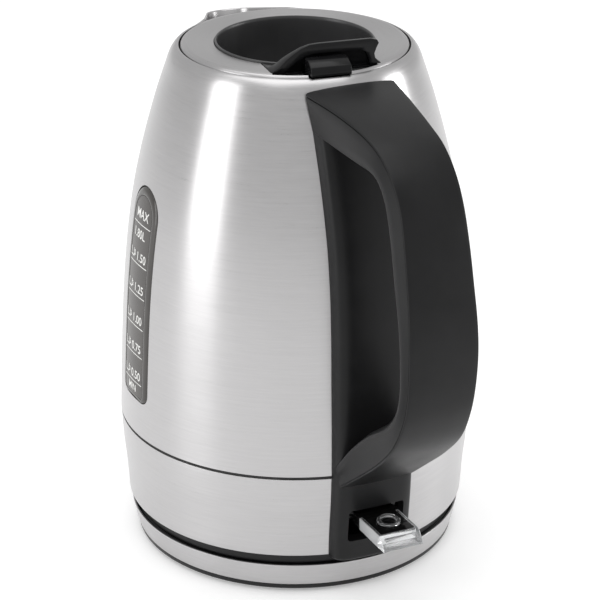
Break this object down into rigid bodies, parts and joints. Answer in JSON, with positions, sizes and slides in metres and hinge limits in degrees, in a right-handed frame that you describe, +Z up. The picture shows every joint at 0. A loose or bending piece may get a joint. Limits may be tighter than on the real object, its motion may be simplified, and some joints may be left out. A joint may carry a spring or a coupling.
{
  "type": "electric kettle",
  "caption": "Cordless electric kettle in brushed steel with a lift-out lid, water gauge, loop handle and power base.",
  "frame": {"origin": "centre of the power base's flat underside, on the kettle's vertical axis", "axes": "+Z up along the kettle's axis, +X towards the spout, -X towards the handle, +Y towards the water gauge"},
  "size_m": [0.2213, 0.1588, 0.2415],
  "materials": {
    "brushed_steel": "circumferentially brushed stainless steel",
    "satin_black": "satin black moulded plastic",
    "gloss_black": "gloss black moulded plastic",
    "dark_grey": "matt dark grey plastic",
    "rubber": "black rubber",
    "silicone": "translucent grey silicone",
    "brass": "plain brass",
    "aluminium": "pressed aluminium",
    "screw_steel": "plain steel",
    "smoked_clear": "smoked transparent plastic",
    "clear": "clear polycarbonate",
    "grey_plastic": "glossy dark grey plastic",
    "lamp_lens": "red lamp"
  },
  "bodies": {
    "power_base": {"base_bottom_cover": "satin_black", "base_foot_1": "rubber", "base_foot_2": "rubber", "base_foot_3": "rubber", "base_foot_4": "rubber", "base_screw_1": "screw_steel", "base_screw_2": "screw_steel", "base_screw_3": "screw_steel", "base_skirt_ring": "brushed_steel", "base_top_plate": "satin_black", "cord_gland": "rubber"},
    "swivel": {"connector_pillar": "satin_black", "line_contact_ring": "brass", "neutral_contact_ring": "brass", "earth_pin": "brass"},
    "kettle": {"body_shell": "brushed_steel", "bottom_moulding": "satin_black", "bottom_screw_1": "screw_steel", "bottom_screw_2": "screw_steel", "bottom_screw_3": "screw_steel", "connector_socket": "satin_black", "floor_plate": "brushed_steel", "gauge_frame": "grey_plastic", "gauge_seal": "silicone", "gauge_window": "smoked_clear", "handle_body": "satin_black", "handle_cover": "satin_black", "handle_screw_high": "screw_steel", "handle_screw_low": "screw_steel", "heater_plate": "aluminium", "heating_element": "screw_steel", "indicator_lamp": "lamp_lens", "lid_seat_ring": "dark_grey", "lower_band": "brushed_steel", "seam_ring": "rubber", "snap_disc": "brass", "spout_filter": "dark_grey", "steam_tube": "grey_plastic", "switch_housing": "gloss_black", "thermostat_control": "gloss_black"},
    "lid": {"latch_spring_left": "screw_steel", "latch_spring_right": "screw_steel", "lid_bowl": "satin_black", "lid_gasket": "silicone", "lid_plate": "brushed_steel", "lid_screw_1": "screw_steel", "lid_screw_2": "screw_steel", "lid_screw_3": "screw_steel", "lid_underside": "dark_grey"},
    "latch": {"lid_latch": "gloss_black"},
    "lever": {"switch_lever": "clear", "lever_lens": "clear", "lever_shaft": "screw_steel", "trip_arm": "gloss_black"}
  },
  "joints": [
    {"name": "jug_turn", "type": "hinge", "parent": "power_base", "child": "swivel", "pos_m": [0, 0, 0.0134], "axis": [0, 0, 1], "continuous": true},
    {"name": "jug_lift", "type": "slide", "parent": "swivel", "child": "kettle", "axis": [0, 0, 1], "range_m": [0, 0.05]},
    {"name": "lid_lift", "type": "slide", "parent": "kettle", "child": "lid", "axis": [0, 0, 1], "range_m": [0, 0.05]},
    {"name": "latch_press", "type": "slide", "parent": "lid", "child": "latch", "axis": [0.9917, -0.1288, 0], "range_m": [0, 0.003], "stiffness_N_per_m": 600, "springref_m": -0.002, "deforming": ["latch_spring_left", "latch_spring_right"]},
    {"name": "switch_press", "type": "hinge", "parent": "kettle", "child": "lever", "pos_m": [-0.0716, 0, 0.0382], "axis": [0, -1, 0], "range_deg": [0, 14]}
  ]
}
